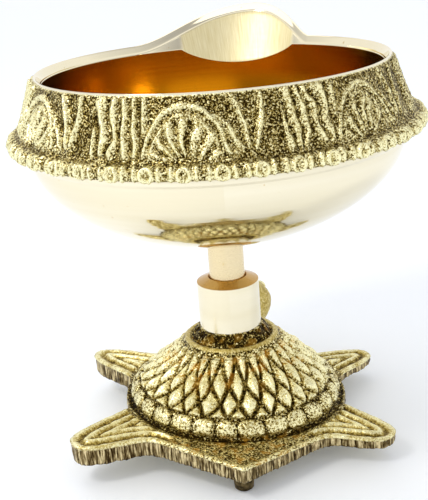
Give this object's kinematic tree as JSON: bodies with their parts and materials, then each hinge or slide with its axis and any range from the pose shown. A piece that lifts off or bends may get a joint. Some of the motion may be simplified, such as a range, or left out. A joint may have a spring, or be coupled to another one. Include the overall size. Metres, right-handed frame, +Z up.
{
  "type": "oil lamp",
  "caption": "Brass diya oil lamp: an open bowl with a pinched wick spout and relief band, on a stem that lifts out of a tortoise-shaped base.",
  "frame": {"origin": "on the floor under the stem's axis, which is the middle of the footprint", "axes": "+Z up along the stem, +Y towards the tortoise's head, -Y towards its tail, +X to the right seen from the tail"},
  "size_m": [0.0904, 0.0904, 0.0915],
  "materials": {
    "cast_brass": "sand-cast, granular, dark in the hollows",
    "foot_brass": "cast, dull",
    "turned_brass": "turned and polished",
    "fixing_brass": "plain",
    "rod_brass": "turned, fine rings",
    "bowl_brass": "turned and polished",
    "band_brass": "sand-cast relief, granular, dark in the hollows"
  },
  "bodies": {
    "base": {"tortoise_base": "cast_brass", "feet": "foot_brass", "stem_collar": "turned_brass", "base_washer": "fixing_brass", "base_screw": "fixing_brass"},
    "stem": {"stem_rod": "rod_brass"},
    "bowl": {"oil_bowl": "bowl_brass", "relief_band": "band_brass"}
  },
  "joints": [
    {"name": "stem_lift", "type": "slide", "parent": "base", "child": "stem", "axis": [0, 0, 1], "range_m": [0, 0.016]},
    {"name": "bowl_turn", "type": "hinge", "parent": "stem", "child": "bowl", "pos_m": [0, 0, 0.0473], "axis": [0, 0, 1], "continuous": true}
  ]
}
